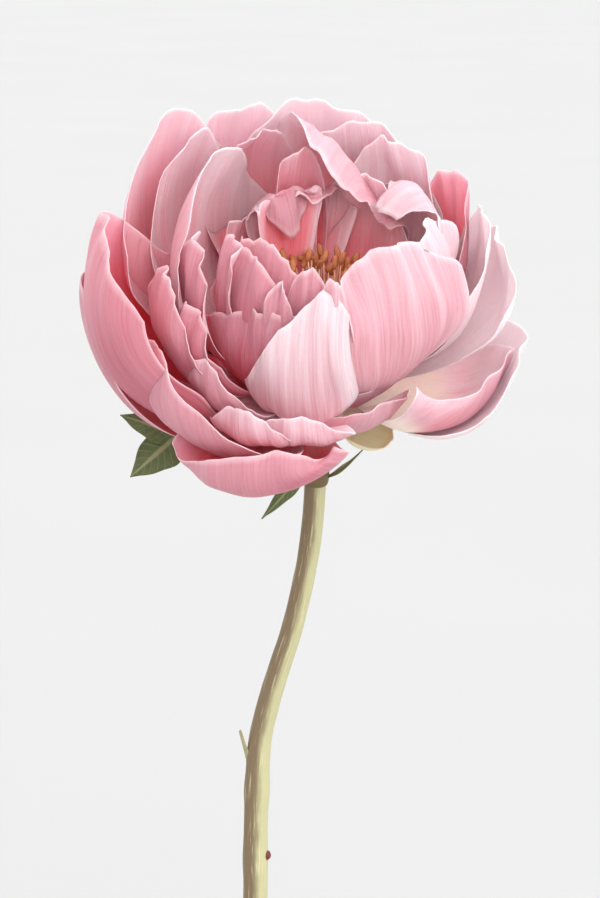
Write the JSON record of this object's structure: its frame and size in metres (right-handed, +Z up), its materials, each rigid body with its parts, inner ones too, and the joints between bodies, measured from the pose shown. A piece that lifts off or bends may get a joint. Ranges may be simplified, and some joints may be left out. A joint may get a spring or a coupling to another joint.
{
  "type": "peony in a bud vase",
  "caption": "Pink semi-double peony bloom tilted forward on a bare, curved green stem, standing in the water of a slim-necked pale glazed bud vase.",
  "frame": {"origin": "middle of the vase's flat base, on the surface that it stands on", "axes": "+Z up the vase, -Y towards the side that the bloom looks to, +X to the right seen from that side"},
  "size_m": [0.1312, 0.1032, 0.4055],
  "materials": {
    "glaze": "smooth pale off-white glaze",
    "water": "clear still water",
    "stem": "matt grooved plant stem, brown-olive to pale yellow-green",
    "leaf": "satin grey-green leaf with pale ribs",
    "sepal": "satin cream-green sepal, flushed reddish at its root",
    "petal": "soft silky petal, crimson-pink in its hollows and paler at its margin, with fine streaks",
    "stamen": "powdery golden-orange anthers on pale filaments",
    "carpel": "downy green-cream carpels with reddish stigmas"
  },
  "bodies": {
    "root": {"vase": "glaze", "water": "water", "stem": "stem", "bracts": "leaf", "sepals": "sepal", "petals": "petal", "stamens": "stamen", "carpels": "carpel"}
  },
  "joints": []
}
